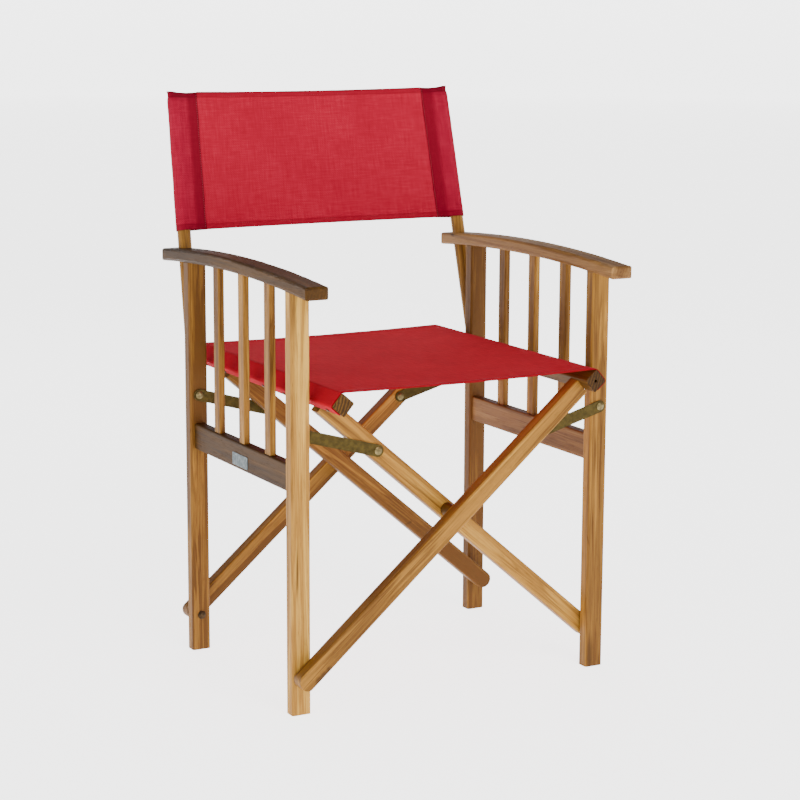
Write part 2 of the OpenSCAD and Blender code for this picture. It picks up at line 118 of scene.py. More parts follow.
class Signal:
    """A shader socket that takes part in arithmetic, each operation adding a Math node."""

    def __init__(self, graph: "Graph", socket: bpy.types.NodeSocket) -> None:
        """Wraps an output socket.

        Args:
            graph: the material graph the socket belongs to.
            socket: the output socket.
        """
        self.graph = graph
        self.socket = socket

    def _math(self, operation: str, *terms: "Signal | Number") -> "Signal":
        """Adds one Math node.

        Args:
            operation: the Math node's operation.
            terms: its inputs in order.

        Returns:
            The node's result.
        """
        node = self.graph.add("ShaderNodeMath", {"operation": operation}, dict(enumerate(terms)))
        return Signal(self.graph, node.outputs[0])

    def __add__(self, other: "Signal | Number") -> "Signal":
        """Sum."""
        return self._math("ADD", self, other)

    def __radd__(self, other: Number) -> "Signal":
        """Sum with a number on the left."""
        return self._math("ADD", other, self)

    def __sub__(self, other: "Signal | Number") -> "Signal":
        """Difference."""
        return self._math("SUBTRACT", self, other)

    def __rsub__(self, other: Number) -> "Signal":
        """Difference from a number."""
        return self._math("SUBTRACT", other, self)

    def __mul__(self, other: "Signal | Number") -> "Signal":
        """Product."""
        return self._math("MULTIPLY", self, other)

    def __rmul__(self, other: Number) -> "Signal":
        """Product with a number on the left."""
        return self._math("MULTIPLY", other, self)

    def sine(self) -> "Signal":
        """Sine, in radians."""
        return self._math("SINE", self)

    def size(self) -> "Signal":
        """Absolute value."""
        return self._math("ABSOLUTE", self)

    def power(self, exponent: Number) -> "Signal":
        """Power of the signal."""
        return self._math("POWER", self, exponent)

    def least(self, other: "Signal | Number") -> "Signal":
        """The smaller of two signals."""
        return self._math("MINIMUM", self, other)

    def step(self, low: float, high: float) -> "Signal":
        """Smooth step from 0 at low to 1 at high.

        Args:
            low: where the step starts.
            high: where the step ends.

        Returns:
            The stepped signal.
        """
        node = self.graph.add(
            "ShaderNodeMapRange",
            {"interpolation_type": "SMOOTHSTEP"},
            {"Value": self, "From Min": low, "From Max": high, "To Min": 0.0, "To Max": 1.0},
        )
        return Signal(self.graph, node.outputs[0])


class Graph:
    """A material's node tree, built through one method."""

    def __init__(self, name: str) -> None:
        """Starts a material with only its output.

        Args:
            name: the material's name.
        """
        self.material = bpy.data.materials.new(name)
        self.material.use_nodes = True
        self.tree = self.material.node_tree
        self.tree.nodes.clear()
        self.output = self.tree.nodes.new("ShaderNodeOutputMaterial")

    def add(self, kind: str, settings: dict | None = None, values: dict | None = None) -> bpy.types.Node:
        """Adds a node to the material, as add_node does."""
        return add_node(self.tree, kind, settings, values)

    def signal(self, node: bpy.types.Node, output: int | str = 0) -> Signal:
        """Wraps one output of a node."""
        return Signal(self, node.outputs[output])

    def placed(self, turn: Triple = (0, 0, 0), shift: Triple = (0, 0, 0)) -> bpy.types.NodeSocket:
        """Object coordinates, turned and shifted.

        Args:
            turn: rotation in radians about X, Y and Z.
            shift: offset in metres.

        Returns:
            The vector socket.
        """
        coords = self.add("ShaderNodeTexCoord")
        values = {"Vector": coords.outputs["Object"], "Rotation": turn, "Location": shift}
        return self.add("ShaderNodeMapping", {}, values).outputs[0]

    def turned_normal(self, turn: Triple) -> bpy.types.NodeSocket:
        """The surface normal in the piece's own frame, turned so that the grain lies on Z.

        Args:
            turn: rotation in radians about X, Y and Z.

        Returns:
            The vector socket.
        """
        coords = self.add("ShaderNodeTexCoord")
        values = {"Vector": coords.outputs["Normal"], "Rotation": turn}
        return self.add("ShaderNodeMapping", {"vector_type": "NORMAL"}, values).outputs[0]

    def reach(self, place: Triple, radius: Triple, ragged: "Signal") -> "Signal":
        """Distance from a place in the piece, 1 at the given radius along each axis.

        Args:
            place: the middle, in the piece's own frame.
            radius: reach along X, Y and Z.
            ragged: added to the distance to make the outline uneven.

        Returns:
            The distance.
        """
        coords = self.add("ShaderNodeTexCoord")
        scale = tuple(1.0 / r for r in radius)
        shift = tuple(-p * k for p, k in zip(place, scale))
        values = {"Vector": coords.outputs["Object"], "Location": shift, "Scale": scale}
        middle = self.add("ShaderNodeMapping", {}, values)
        length = self.add("ShaderNodeVectorMath", {"operation": "LENGTH"}, {0: middle.outputs[0]})
        return self.signal(length, "Value") + ragged

    def split(self, vector: bpy.types.NodeSocket) -> tuple["Signal", "Signal", "Signal"]:
        """Splits a vector into its three signals."""
        node = self.add("ShaderNodeSeparateXYZ", {}, {0: vector})
        return self.signal(node, 0), self.signal(node, 1), self.signal(node, 2)

    def noise(
        self,
        vector: bpy.types.NodeSocket,
        stretch: Triple,
        detail: float = 2.0,
        rough: float = 0.5,
        bend: float = 0.0,
    ) -> Signal:
        """Noise on a stretched vector.

        Args:
            vector: coordinates in metres.
            stretch: cycles per metre along each axis.
            detail: octaves.
            rough: strength of the finer octaves.
            bend: distortion.

        Returns:
            The noise value.
        """
        scaled = self.add("ShaderNodeMapping", {}, {"Vector": vector, "Scale": stretch}).outputs[0]
        values = {"Vector": scaled, "Scale": 1.0, "Detail": detail, "Roughness": rough}
        return self.signal(self.add("ShaderNodeTexNoise", {}, {**values, "Distortion": bend}))

    def ramp(self, value: Signal, stops: Sequence[tuple[float, Triple]]) -> bpy.types.NodeSocket:
        """Colours a signal through a ramp of (place, colour) stops, given in order."""
        node = self.add("ShaderNodeValToRGB", {}, {0: value})
        elements = node.color_ramp.elements
        while len(elements) < len(stops):
            elements.new(0.5)
        for element, (place, colour) in zip(elements, stops):
            element.position = place
            element.color = (*colour, 1.0)
        return node.outputs[0]

    def mix(self, share: Signal | float, first: object, second: object) -> bpy.types.NodeSocket:
        """Mixes two colours.

        Args:
            share: how much of the second colour.
            first: colour tuple or socket.
            second: colour tuple or socket.

        Returns:
            The mixed colour.
        """
        full = [(*c, 1.0) if isinstance(c, tuple) else c for c in (first, second)]
        node = self.add("ShaderNodeMix", {"data_type": "RGBA"}, {0: share, 6: full[0], 7: full[1]})
        return node.outputs[2]

    def bump(self, height: Signal, depth: float, strength: float) -> bpy.types.NodeSocket:
        """A bump normal from a height in 0 to 1, depth metres high."""
        node = self.add("ShaderNodeBump", {}, {"Height": height, "Distance": depth, "Strength": strength})
        return node.outputs[0]

    def finish(self, **values: object) -> bpy.types.Material:
        """Adds the surface shader and ends the material.

        Args:
            values: shader sockets by name, with _ for a space.

        Returns:
            The material.
        """
        sockets = {key.replace("_", " "): value for key, value in values.items()}
        shader = self.add("ShaderNodeBsdfPrincipled", {}, sockets)
        self.tree.links.new(shader.outputs[0], self.output.inputs[0])
        return self.material


# -------- finishes


def darker(colour: Triple, share: float) -> Triple:
    """The colour with each channel brought down to a share of itself."""
    return tuple(share * c for c in colour)


class Grain(Enum):
    """Direction of the grain in a wooden piece, as the turn that brings it onto Z."""

    UPRIGHT = (0.0, 0.0, 0.0)
    FORE_AFT = (math.pi / 2, 0.0, 0.0)
    LEANING = (POST_LEAN, 0.0, 0.0)
    RISING_RIGHT = (0.0, -BAR_SLANT, 0.0)
    RISING_LEFT = (0.0, BAR_SLANT, 0.0)


@dataclass(frozen=True)
class Knot:
    """A dark knot or bruise in the wood, drawn out along the grain."""

    piece: str
    place: Triple
    radius: Triple


KNOTS = (
    Knot("outer_front_bar", (-0.2370, -0.2440, 0.0570), (0.0085, 0.03, 0.0085)),
    Knot("outer_front_bar", (-0.2290, -0.2440, 0.0635), (0.0085, 0.03, 0.0085)),
    Knot("outer_front_bar", (-0.2210, -0.2440, 0.0710), (0.0070, 0.03, 0.0070)),
    Knot("left_rear_leg", (-0.2685, 0.1500, 0.4700), (0.006, 0.0030, 0.0060)),
    Knot("right_front_leg", (0.2450, -0.2194, 0.0200), (0.0075, 0.02, 0.0500)),
    Knot("left_front_leg", (-0.2600, -0.2194, 0.2150), (0.0022, 0.02, 0.0550)),
)


END_SHARE = {"left_armrest": 0.4, "right_armrest": 0.4}  # well oiled ends are less dark
EDGE_PAINTED_SHADE = 0.55  # painted shade: the bars' narrow edges, picked by the way they face, are darker by this


@dataclass(frozen=True)
class OiledWood:
    """Oiled acacia: streaked bands, fine fibres, open pores and a few darker heart streaks."""

    name: str
    deep: Triple
    middle: Triple
    pale: Triple
    streak: float = 1.0
    gloss: float = 0.42
    reflect: float = 0.09
    relief: float = 0.00022

    def material(self, piece: str, grain: Grain, seed: int, tone_and_shade_bias: float = 0.0) -> bpy.types.Material:
        """Makes the wood of one piece.

        Args:
            piece: name of the piece, for the material's name.
            grain: the way its grain runs.
            seed: moves the pattern, so no two pieces match.
            tone_and_shade_bias: makes the piece darker (below 0) or paler (above 0); this is partly the
                piece's own tone and partly painted light and shade.

        Returns:
            The material.
        """
        g = Graph(f"{self.name}_{piece}")
        shift = (0.37 * seed % 5.1, 0.73 * seed % 4.3, 0.91 * seed % 3.7)
        at = g.placed(grain.value, shift)
        bands = g.noise(at, (70, 70, 2.2), 3.0, 0.6, 0.9)
        broad = g.noise(at, (20, 20, 2.6), 2.0, 0.5, 0.5)
        rings = ((bands * 40.0 + broad * 18.0).sine() * 0.5 + 0.5).power(1.8)
        fibre = g.noise(at, (760, 760, 14), 2.0, 0.6)
        flecks = g.noise(at, (1400, 1400, 55), 1.0, 0.5).step(0.62, 0.7)
        heart = g.noise(at, (42, 42, 1.5), 2.0, 0.55, 1.2).step(0.60, 0.70)
        spots = g.noise(at, (58, 58, 19), 1.0, 0.5, 0.6).step(0.74, 0.80)
        figure = (broad - 0.5) * 0.75 + (bands - 0.5) * 0.95 + (fibre - 0.5) * 0.34 - (rings - 0.4) * 0.13
        # the piece's bias adds painted light and shade on top of its own tone
        tone = 0.5 + tone_and_shade_bias + self.streak * figure
        colour = g.ramp(tone, ((0.16, self.deep), (0.50, self.middle), (0.84, self.pale)))
        colour = g.mix(heart * 0.55 * self.streak, colour, self.deep)
        side, _, end = g.split(g.turned_normal(grain.value))
        sawn = self._sawn(g, at, bands) * end.size().step(0.75, 0.9) * END_SHARE.get(piece, 1.0)
        colour = g.mix(sawn, colour, self.deep)
        # painted shade: the bars' narrow edges, found by the way each face turns, are darkened towards
        # the deep colour
        if grain in (Grain.RISING_LEFT, Grain.RISING_RIGHT):
            colour = g.mix(side.size().step(0.5, 0.9) * EDGE_PAINTED_SHADE, colour, self.deep)
        colour = g.mix(flecks * 0.35 + spots * 0.6, colour, darker(self.deep, 0.45))
        for knot in (k for k in KNOTS if k.piece == piece):
            dark = 1.0 - g.reach(knot.place, knot.radius, fibre * 0.5).step(0.5, 1.3)
            colour = g.mix(dark * 0.8, colour, darker(self.deep, 0.6))
        height = fibre * 0.6 + rings * 0.25 - flecks * 0.7
        return g.finish(
            Base_Color=colour,
            Roughness=self.gloss + fibre * 0.16 + flecks * 0.15 - heart * 0.04,
            Normal=g.bump(height, self.relief, 0.6),
            Specular_IOR_Level=self.reflect,
        )

    @staticmethod
    def _sawn(g: Graph, at: bpy.types.NodeSocket, bands: Signal) -> Signal:
        """Growth rings on the sawn ends.

        Args:
            g: the wood's graph.
            at: coordinates with the grain on Z.
            bands: the wood's bands, which bend the rings.

        Returns:
            How dark the end is, where it is seen.
        """
        x, y, _ = g.split(at)
        return ((x * 1250.0 + y * 420.0 + bands * 9.0).sine() * 0.5 + 0.5).step(0.25, 0.8) * 0.55 + 0.30


@dataclass(frozen=True)
class AgedMetal:
    """Plated steel or brass dulled by handling, with fine scratches and darker specks."""

    name: str
    clean: Triple
    dull: Triple
    shine: float = 0.3

    def material(self) -> bpy.types.Material:
        """Makes the metal."""
        g = Graph(self.name)
        at = g.placed((0.3, 0.5, 0.2))
        patina = g.noise(at, (170, 170, 170), 4.0, 0.6).step(0.30, 0.72)
        specks = g.noise(at, (900, 900, 900), 1.0, 0.5).step(0.62, 0.7)
        drawn = g.noise(at, (90, 2200, 2200), 1.0, 0.5)
        colour = g.mix(patina, self.clean, self.dull)
        colour = g.mix(specks * 0.5, colour, darker(self.dull, 0.4))
        return g.finish(
            Base_Color=colour,
            Metallic=0.92 - specks * 0.3,
            Roughness=self.shine + patina * 0.18 + drawn * 0.12,
            Normal=g.bump(drawn * 0.5 + specks * 0.5, 0.00006, 0.5),
        )


@dataclass(frozen=True)
class WovenCanvas:
    """Plain-weave cotton canvas: crossing threads, slubs and a soft nap. Its UV map is in metres."""

    name: str
    base: Triple
    shade: Triple
    cut: tuple[float, float]
    hem: float = 0.0
    # painted shade: a darker band this far in from both side edges, beside the sleeves' seam and over the
    # seat's wrap round its rails
    side_shade: float = 0.0
    thread: float = 0.0016
    relief: float = 0.00034
    fold: float = 0.0012
    side_shade_fade: float = 0.006
    # painted shade on the cloth's cut rims, over this width from the edge
    rim_shade_width: float = 0.0008

    def material(self) -> bpy.types.Material:
        """Makes the canvas."""
        g = Graph(self.name)
        uv = g.add("ShaderNodeUVMap", {"uv_map": CLOTH_MAP}).outputs[0]
        across, along, _ = g.split(uv)
        turn = math.pi / self.thread
        weft_slub = g.noise(uv, (70, 900, 1), 3.0, 0.6)
        warp_slub = g.noise(uv, (900, 70, 1), 3.0, 0.6)
        warp = (across * turn + weft_slub * 1.4).sine()
        weft = (along * turn + warp_slub * 1.4).sine()
        weave = 0.5 + warp * weft * 0.5
        thick_weft = g.noise(uv, (28, 360, 1), 2.0, 0.6)
        thick_warp = g.noise(uv, (360, 28, 1), 2.0, 0.6)
        cloud = g.noise(uv, (9, 9, 1), 3.0, 0.55)
        fuzz = g.noise(uv, (2600, 2600, 1), 1.0, 0.5)
        tone = 0.18 + weave * 0.26 + weft_slub * 0.30 + warp_slub * 0.26
        tone = tone + (cloud - 0.5) * 0.30 + (fuzz - 0.5) * 0.16 + (thick_weft + thick_warp - 1.0) * 0.45
        lit = tuple(min(1.0, 1.30 * c + 0.012) for c in self.base)
        colour = g.ramp(tone, ((0.22, self.shade), (0.60, self.base), (0.95, lit)))
        edge = along.least(self.cut[1] - along)
        # painted shade: the hem band is darkened and a darker line runs in the groove at the hem's inner
        # edge
        if self.hem:
            hem_shade = 1.0 - edge.step(self.hem, self.hem + self.fold)
            rise = edge.step(self.hem - 0.002, self.hem)
            seam = rise * (1.0 - edge.step(self.hem + 0.0004, self.hem + 0.0022))
            colour = g.mix(hem_shade * 0.62 + seam * 0.25, colour, self.shade)
        # painted shade near the side edges, where the sleeve turns in to its seam and the seat turns down
        # round a rail
        if self.side_shade:
            side = across.least(self.cut[0] - across)
            side_shading = 1.0 - side.step(self.side_shade - self.side_shade_fade, self.side_shade + self.side_shade_fade)
            colour = g.mix(side_shading * 0.75, colour, self.shade)
        # painted shade on the cloth's cut rims along the top and bottom edges
        colour = g.mix((1.0 - edge.step(0.0, self.rim_shade_width)) * 0.85, colour, darker(self.shade, 0.5))
        height = weave * 0.55 + (weft_slub + warp_slub) * 0.3 + fuzz * 0.15
        return g.finish(
            Base_Color=colour,
            Roughness=0.80 + weave * 0.10,
            Normal=g.bump(height, self.relief, 0.55),
            Sheen_Weight=0.01,
            Sheen_Roughness=0.45,
            Specular_IOR_Level=0.04,
        )


@dataclass(frozen=True)
class SewingThread:
    """Twisted polyester thread."""

    name: str
    colour: Triple

    def material(self) -> bpy.types.Material:
        """Makes the thread."""
        g = Graph(self.name)
        at = g.placed()
        twist = g.noise(at, (2400, 2400, 2400), 1.0, 0.5)
        colour = g.mix(twist * 0.5, self.colour, darker(self.colour, 0.55))
        return g.finish(Base_Color=colour, Roughness=0.5 + twist * 0.2, Normal=g.bump(twist, 0.0001, 0.5))


PALE = OiledWood("pale_acacia", (0.085, 0.033, 0.005), (0.27, 0.125, 0.020), (0.50, 0.28, 0.052))
BROWN = OiledWood(
    "brown_acacia", (0.015, 0.0055, 0.0010), (0.050, 0.0205, 0.0025), (0.120, 0.053, 0.0070), 0.8, 0.46
)
RUSSET = OiledWood(
    "russet_acacia", (0.050, 0.020, 0.006), (0.155, 0.072, 0.021), (0.31, 0.165, 0.056), 0.8, 0.44
)
LINK_BRASS = AgedMetal("aged_brass", (0.066, 0.045, 0.010), (0.046, 0.032, 0.008), 0.45)
BRIGHT = AgedMetal("worn_plating", (0.19, 0.145, 0.060), (0.085, 0.066, 0.028), 0.30)
DARK = AgedMetal("dark_bolt", (0.058, 0.033, 0.014), (0.024, 0.014, 0.006), 0.46)
LABEL = AgedMetal("blank_plate", (0.125, 0.145, 0.150), (0.070, 0.085, 0.092), 0.42)
BACK_TALL = 0.2186
BACK_CLOTH = WovenCanvas(
    "back_canvas_weave",
    (0.305, 0.0062, 0.0225),
    (0.19, 0.0028, 0.011),
    cut=(0.419, BACK_TALL),
    hem=0.0085,
)
# painted shade: the sleeves take the same red canvas as the back in a darker copy
SHADED_SLEEVE_CLOTH = WovenCanvas(
    "sleeve_canvas_weave_shaded",
    (0.245, 0.0050, 0.022),
    (0.125, 0.0018, 0.0085),
    cut=(0.118, BACK_TALL),
    hem=0.0085,
    side_shade=0.021,
)
# painted light: the seat takes the same red canvas as the back in a paler copy
LIT_SEAT_CLOTH = WovenCanvas(
    "seat_canvas_weave_lit",
    (0.47, 0.0026, 0.016),
    (0.24, 0.0010, 0.007),
    cut=(0.5155, 0.488),
    side_shade=0.046,
)
THREAD = SewingThread("red_thread", (0.24, 0.005, 0.018))


# -------- mesh helpers


def smooth(x: float, low: float, high: float) -> float:
    """Smooth step of x from 0 at low to 1 at high."""
    t = min(1.0, max(0.0, (x - low) / (high - low)))
    return t * t * (3 - 2 * t)


def make_mesh(
    name: str, points: Sequence[Sequence[float]], faces: Sequence[Sequence[int]]
) -> bpy.types.Object:
    """Makes an object from points and faces.

    Args:
        name: the object's name.
        points: corner places in metres.
        faces: corner numbers of each face.

    Returns:
        The object, at the origin.
    """
    mesh = bpy.data.meshes.new(name)
    mesh.from_pydata([tuple(p) for p in points], [], [tuple(f) for f in faces])
    mesh.validate()
    for polygon in mesh.polygons:
        polygon.use_smooth = True
    thing = bpy.data.objects.new(name, mesh)
    bpy.context.scene.collection.objects.link(thing)
    return thing


def cloth_grid(
    name: str, run: Sequence[float], rows: int, place: Callable[[int, float], Vector], length: float
) -> bpy.types.Object:
    """Makes an open sheet from a rule, with a UV map in metres.

    Args:
        name: the object's name.
        run: flat distance of each column of points from the first.
        rows: cells along.
        place: gives the point at a column's number and a share of the length.
        length: flat length in metres.

    Returns:
        The sheet.
    """
    wide = len(run)
    points = [place(i, j / rows) for j in range(rows + 1) for i in range(wide)]
    corners = [j * wide + i for j in range(rows) for i in range(wide - 1)]
    sheet = make_mesh(name, points, [(a, a + 1, a + wide + 1, a + wide) for a in corners])
    layer = sheet.data.uv_layers.new(name=CLOTH_MAP)
    for loop in sheet.data.loops:
        j, i = divmod(loop.vertex_index, wide)
        layer.data[loop.index].uv = (run[i], j / rows * length)
    return sheet


def thicken(sheet: bpy.types.Object, thickness: float) -> bpy.types.Object:
    """Gives a sheet its thickness, half to each side, and bakes it into the mesh.

    Args:
        sheet: the open sheet.
        thickness: cloth thickness in metres.

    Returns:
        The same object.
    """
    wall = sheet.modifiers.new("wall", "SOLIDIFY")
    wall.thickness = thickness
    wall.offset = 0.0
    wall.use_rim = True
    return baked(sheet)


def baked(thing: bpy.types.Object) -> bpy.types.Object:
    """Applies an object's modifiers to its mesh.

    Args:
        thing: the object.

    Returns:
        The same object, with a plain mesh.
    """
    graph = bpy.context.evaluated_depsgraph_get()
    mesh = bpy.data.meshes.new_from_object(thing.evaluated_get(graph))
    thing.modifiers.clear()
    thing.data = mesh
    for polygon in mesh.polygons:
        polygon.use_smooth = True
    return thing


def wobble(x: float, y: float, seed: float) -> float:
    """A gentle unevenness between -1 and 1.

    Args:
        x: first place, in cells.
        y: second place, in cells.
        seed: shifts the pattern.

    Returns:
        The unevenness.
    """
    return (
        math.sin(x * 1.7 + seed) * math.cos(y * 1.3 - seed * 0.7)
        + 0.5 * math.sin(x * 3.9 - y * 2.1 + seed * 1.9)
        + 0.3 * math.sin(x * 7.3 + y * 5.7 + seed * 3.1)
    ) / 1.8


# -------- stitches


@dataclass
class StitchRow:
    """Rows of lock stitches laid along a polyline with a Geometry Nodes tree."""

    pitch: float = 0.0036
    length: float = 0.0026
    radius: float = 0.00042
    jitter: float = 0.1
    seed: int = 7
    tree: bpy.types.NodeTree | None = field(default=None, repr=False)
    ids: dict[str, str] = field(default_factory=dict, repr=False)

    def sizes(self) -> dict[str, float]:
        """The tree's inputs by name."""
        return {"Pitch": self.pitch, "Length": self.length, "Radius": self.radius}

    def build_tree(self, thread: bpy.types.Material) -> bpy.types.NodeTree:
        """Builds the tree once: path to curve, even points, a small capsule on each.

        Args:
            thread: the stitches' material.

        Returns:
            The node tree.
        """
        if self.tree is not None:
            return self.tree
        tree = bpy.data.node_groups.new("stitch_row", "GeometryNodeTree")
        face = tree.interface
        face.new_socket("Geometry", in_out="INPUT", socket_type="NodeSocketGeometry")
        for label, value in self.sizes().items():
            item = face.new_socket(label, in_out="INPUT", socket_type="NodeSocketFloat")
            item.default_value = value
            self.ids[label] = item.identifier
        face.new_socket("Geometry", in_out="OUTPUT", socket_type="NodeSocketGeometry")
        start, end = tree.nodes.new("NodeGroupInput"), tree.nodes.new("NodeGroupOutput")
        given = start.outputs
        curve = add_node(tree, "GeometryNodeMeshToCurve", {}, {"Mesh": given["Geometry"]})
        values = {"Curve": curve.outputs["Curve"], "Length": given["Pitch"]}
        even = add_node(tree, "GeometryNodeCurveToPoints", {"mode": "LENGTH"}, values)
        values = {"Segments": 6, "Rings": 4, "Radius": given["Radius"]}
        ball = add_node(tree, "GeometryNodeMeshUVSphere", {}, values)
        double = add_node(tree, "ShaderNodeMath", {"operation": "MULTIPLY"}, {0: given["Radius"], 1: 2.0})
        values = {0: given["Length"], 1: double.outputs[0]}
        ratio = add_node(tree, "ShaderNodeMath", {"operation": "DIVIDE"}, values)
        values = {"Min": 1.0 - self.jitter, "Max": 1.0 + self.jitter, "Seed": self.seed}
        uneven = add_node(tree, "FunctionNodeRandomValue", {"data_type": "FLOAT"}, values)
        values = {0: ratio.outputs[0], 1: uneven.outputs[1]}
        stretch = add_node(tree, "ShaderNodeMath", {"operation": "MULTIPLY"}, values)
        scale = add_node(tree, "ShaderNodeCombineXYZ", {}, {0: 1.0, 1: 1.0, 2: stretch.outputs[0]})
        values = {
            "Points": even.outputs["Points"],
            "Instance": ball.outputs["Mesh"],
            "Rotation": even.outputs["Rotation"],
            "Scale": scale.outputs[0],
        }
        scatter = add_node(tree, "GeometryNodeInstanceOnPoints", {}, values)
        values = {"Geometry": scatter.outputs["Instances"]}
        real = add_node(tree, "GeometryNodeRealizeInstances", {}, values)
        values = {"Geometry": real.outputs["Geometry"], "Material": thread}
        dress = add_node(tree, "GeometryNodeSetMaterial", {}, values)
        tree.links.new(dress.outputs["Geometry"], end.inputs["Geometry"])
        self.tree = tree
        return tree

    def sew(
        self, name: str, paths: Iterable[Sequence[Vector]], thread: bpy.types.Material
    ) -> bpy.types.Object:
        """Sews rows of stitches.

        Args:
            name: the piece's name.
            paths: the polylines to follow.
            thread: the stitches' material.

        Returns:
            One plain mesh of all the stitches.
        """
        points: list[Vector] = []
        edges: list[tuple[int, int]] = []
        for path in paths:
            first = len(points)
            points.extend(path)
            edges.extend((first + k, first + k + 1) for k in range(len(path) - 1))
        mesh = bpy.data.meshes.new(name)
        mesh.from_pydata([tuple(p) for p in points], edges, [])
        thing = bpy.data.objects.new(name, mesh)
        bpy.context.scene.collection.objects.link(thing)
        modifier = thing.modifiers.new("sew", "NODES")
        modifier.node_group = self.build_tree(thread)
        for label, value in self.sizes().items():
            modifier[self.ids[label]] = value
        return baked(thing)


# -------- wooden frame


@dataclass
class WoodenFrame:
    """Dresses the wooden pieces of the side frames, the crossing bars and the seat rails."""

    seed: int = 11
    seed_step: int = 3

    def plan(self) -> list[tuple[str, OiledWood, Grain, float]]:
        """Lists each wooden piece with its wood, grain and tone; the tone is partly the piece's own and
        partly painted light and shade.

        Returns:
            Node, finish, grain direction and tone bias, the last partly painted light and shade.
        """
        up, fore, lean = Grain.UPRIGHT, Grain.FORE_AFT, Grain.LEANING
        right, left = Grain.RISING_RIGHT, Grain.RISING_LEFT
        # Tone biases: partly each piece's own tone, partly painted light and shade; the rear legs and
        # rear bars are made darker as painted shade.
        sides = (
            ("front_leg", up, PALE, PALE, 0.13, -0.12),
            ("rear_leg", up, PALE, PALE, -0.26, -0.36),
            ("armrest", fore, BROWN, RUSSET, -0.04, 0.05),
            ("side_rail", fore, BROWN, RUSSET, -0.10, -0.12),
            ("front_slat", up, PALE, PALE, -0.20, -0.16),
            ("middle_slat", up, PALE, PALE, -0.16, -0.12),
            ("rear_slat", up, PALE, PALE, -0.24, -0.14),
            ("back_post", lean, PALE, PALE, -0.08, -0.10),
        )
        rows = [(f"left_{name}", wood, grain, tone) for name, grain, wood, _, tone, _ in sides]
        rows += [(f"right_{name}", wood, grain, tone) for name, grain, _, wood, _, tone in sides]
        return rows + [
            ("outer_front_bar", PALE, right, -0.14),
            ("outer_rear_bar", PALE, right, -0.26),
            ("inner_front_bar", PALE, left, -0.01),
            ("inner_rear_bar", PALE, left, -0.34),
            ("left_seat_rail", BROWN, fore, 0.32),
            ("right_seat_rail", BROWN, fore, 0.0),
            ("crossing_spacers", BROWN, fore, 0.05),
        ]

    def dress(self, nodes: dict[str, bpy.types.Object]) -> None:
        """Gives each wooden piece its own wood.

        Args:
            nodes: the frame's pieces by name.
        """
        for number, (name, wood, grain, bias) in enumerate(self.plan()):
            put_on(nodes[name], wood.material(name, grain, self.seed + self.seed_step * number, bias))
            LOG.info("wood on %s", name)


class Metalwork:
    """Dresses the link arms, rivets, bolts, washers, tacks and the blank plate."""

    def dress(self, nodes: dict[str, bpy.types.Object]) -> None:
        """Gives each metal piece its metal.

        Args:
            nodes: the frame's pieces by name.
        """
        brass, bright, dark, label = (m.material() for m in (LINK_BRASS, BRIGHT, DARK, LABEL))
        for name, thing in nodes.items():
            if name.endswith("_link"):
                put_on(thing, brass)
            elif name == "label_plate":
                put_on(thing, label)
            elif any(word in name for word in ("bolts", "washers", "pins", "tacks")):
                put_on(thing, dark)
            elif any(word in name for word in ("rivet", "screw")):
                put_on(thing, bright)
            else:
                continue
            LOG.info("metal on %s", name)


def put_on(thing: bpy.types.Object, material: bpy.types.Material) -> None:
    """Puts a material in every slot of a piece.

    Args:
        thing: the piece.
        material: its material.
    """
    if not thing.material_slots:
        thing.data.materials.append(material)
    for place in thing.material_slots:
        place.material = material


# -------- canvas seat


